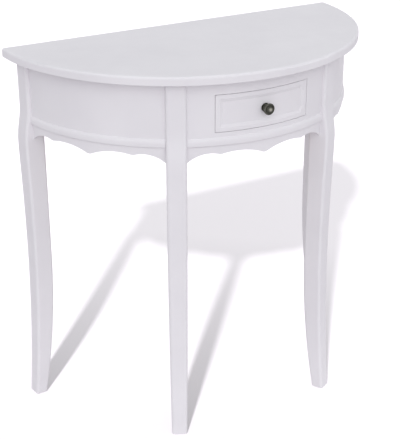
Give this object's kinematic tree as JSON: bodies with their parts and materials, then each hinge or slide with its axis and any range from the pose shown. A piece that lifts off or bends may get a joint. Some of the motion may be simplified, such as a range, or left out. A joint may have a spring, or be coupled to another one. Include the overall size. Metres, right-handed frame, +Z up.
{
  "type": "half-round side table",
  "caption": "Half-round console table with curved legs, bent aprons with a scalloped lower edge and a moulding, and a small sliding drawer behind a bowed front with a turned knob.",
  "frame": {"origin": "on the floor, midway between the straight back edge and the front of the top, on the middle plane", "axes": "X along the straight back edge, -Y towards the front where the drawer opens, +Z up"},
  "size_m": [0.8062, 0.4, 0.8],
  "materials": {
    "white_paint": "satin white paint",
    "bare_wood": "planed, unpainted",
    "thin_ply": "sanded plywood",
    "dowel_wood": "fluted beech",
    "steel": "zinc plated",
    "insert_brass": "plain",
    "knob_metal": "dark aged"
  },
  "bodies": {
    "table": {"table_top": "white_paint", "front_apron": "white_paint", "left_apron": "white_paint", "right_apron": "white_paint", "front_bead": "white_paint", "left_bead": "white_paint", "right_bead": "white_paint", "back_rail": "white_paint", "front_left_leg": "white_paint", "front_right_leg": "white_paint", "rear_left_leg": "white_paint", "rear_right_leg": "white_paint", "front_left_block": "bare_wood", "front_right_block": "bare_wood", "rear_left_block": "bare_wood", "rear_right_block": "bare_wood", "left_runner": "bare_wood", "right_runner": "bare_wood", "left_kicker": "bare_wood", "right_kicker": "bare_wood", "drawer_stops": "bare_wood", "apron_dowels": "dowel_wood", "rail_dowels": "dowel_wood", "runner_dowels": "dowel_wood", "leg_bolts": "steel", "leg_washers": "steel", "top_screws": "steel", "block_screws": "steel", "runner_screws": "steel", "kicker_screws": "steel", "leg_inserts": "insert_brass"},
    "drawer": {"drawer_front": "white_paint", "drawer_left_side": "bare_wood", "drawer_right_side": "bare_wood", "drawer_back": "bare_wood", "drawer_bottom": "thin_ply", "drawer_dowels": "dowel_wood", "bottom_screws": "steel", "knob": "knob_metal", "knob_screw": "steel"}
  },
  "joints": [
    {"name": "drawer_slide", "type": "slide", "parent": "table", "child": "drawer", "axis": [0, -1, 0], "range_m": [0, 0.17]}
  ]
}
